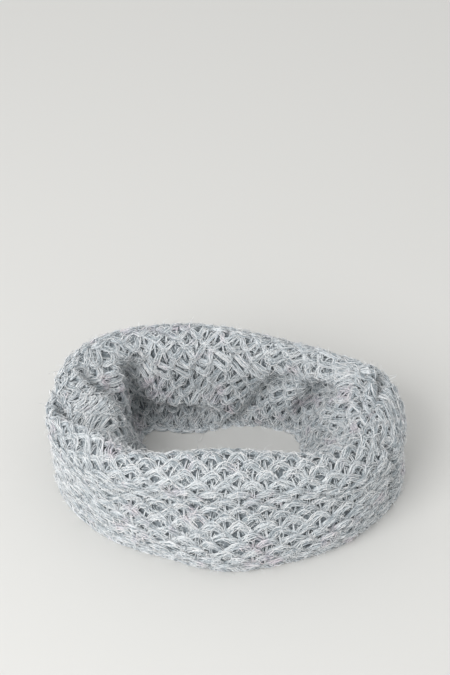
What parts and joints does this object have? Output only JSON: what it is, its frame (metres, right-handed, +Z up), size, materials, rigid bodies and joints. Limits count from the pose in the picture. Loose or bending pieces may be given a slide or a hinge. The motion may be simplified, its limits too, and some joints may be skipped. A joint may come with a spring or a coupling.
{
  "type": "infinity scarf",
  "caption": "Endless knitted neck warmer in chunky pale blue-grey mohair-look yarn, folded double and standing as an oval ring with an open neck hole",
  "frame": {"origin": "Centre of the bounding box in plan, on the plane that the two hems rest on.", "axes": "+X runs to the ring's right end along its length, +Y to its back, +Z up; the lower front stretch faces -Y."},
  "size_m": [0.304, 0.2104, 0.0998],
  "materials": {
    "outer_knit": "fuzzy open knit with a soft sheen",
    "inner_knit": "fuzzy open knit with a soft sheen"
  },
  "bodies": {
    "root": {"outer_wall": "outer_knit", "inner_wall": "inner_knit"}
  },
  "joints": []
}
